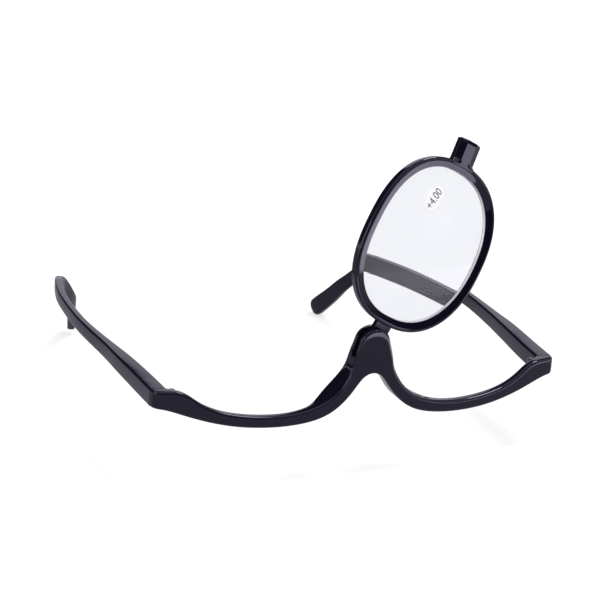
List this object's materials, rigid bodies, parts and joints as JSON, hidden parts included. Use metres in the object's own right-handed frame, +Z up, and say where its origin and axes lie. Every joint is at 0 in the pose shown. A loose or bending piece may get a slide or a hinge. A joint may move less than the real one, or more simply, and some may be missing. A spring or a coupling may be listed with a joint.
{
  "type": "magnifying makeup glasses",
  "caption": "Half rim glasses frame with folding temples and a magnifying lens in an oval ring that swings over the nose from one eye to the other.",
  "frame": {"origin": "crown of the nose arch, level with the front face, on the plane of symmetry", "axes": "+X to the wearer's left, +Y from the front back to the ears, +Z up towards the brow"},
  "size_m": [0.1434, 0.1464, 0.1032],
  "materials": {
    "frame_plastic": "polished black, slightly violet",
    "lens_resin": "clear polished resin",
    "label_film": "white matt film with plain black numerals",
    "dark_steel": "blackened",
    "bush_brass": "turned"
  },
  "bodies": {
    "front": {"front_frame": "frame_plastic", "pivot_screw": "dark_steel", "pivot_washer_front": "dark_steel", "pivot_washer_rear": "dark_steel", "front_hinge_left": "dark_steel", "front_hinge_right": "dark_steel", "hinge_screw_left": "dark_steel", "hinge_screw_right": "dark_steel"},
    "lens_arm": {"lens_ring": "frame_plastic", "lens": "lens_resin", "lens_label": "label_film", "pivot_bush": "bush_brass"},
    "temple_left": {"temple_left": "frame_plastic", "temple_hinge_left": "dark_steel"},
    "temple_right": {"temple_right": "frame_plastic", "temple_hinge_right": "dark_steel"}
  },
  "joints": [
    {"name": "lens_swing", "type": "hinge", "parent": "front", "child": "lens_arm", "pos_m": [0, 0.0029, 0.0099], "axis": [0, -1, 0], "range_deg": [-59.7, 117.3]},
    {"name": "temple_fold_left", "type": "hinge", "parent": "front", "child": "temple_left", "pos_m": [0.0634, 0.01265, -0.0069], "axis": [0, 0, 1], "range_deg": [0, 70]},
    {"name": "temple_fold_right", "type": "hinge", "parent": "front", "child": "temple_right", "pos_m": [-0.0634, 0.01265, -0.0069], "axis": [0, 0, -1], "range_deg": [0, 86]}
  ]
}
